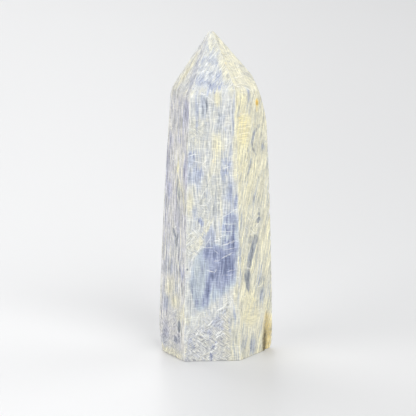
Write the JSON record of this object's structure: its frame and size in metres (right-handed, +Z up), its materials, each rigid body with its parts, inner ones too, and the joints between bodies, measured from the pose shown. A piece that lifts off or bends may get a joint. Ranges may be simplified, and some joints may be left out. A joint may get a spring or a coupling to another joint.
{
  "type": "kyanite point",
  "caption": "Free-standing polished kyanite tower: a tapering hexagonal column with a faceted tip that stands on its flat base.",
  "frame": {"origin": "middle of the flat base, on the surface it stands on", "axes": "+Z up along the column to its apex, front face towards -Y, +X to the right when seen from the front"},
  "size_m": [0.0284, 0.0232, 0.08],
  "materials": {
    "polished_kyanite": "polished bladed kyanite: pale cream and periwinkle blue fibres with deeper blue windows, white parting cracks and an ochre rough spot"
  },
  "bodies": {
    "root": {"kyanite_point": "polished_kyanite"}
  },
  "joints": []
}
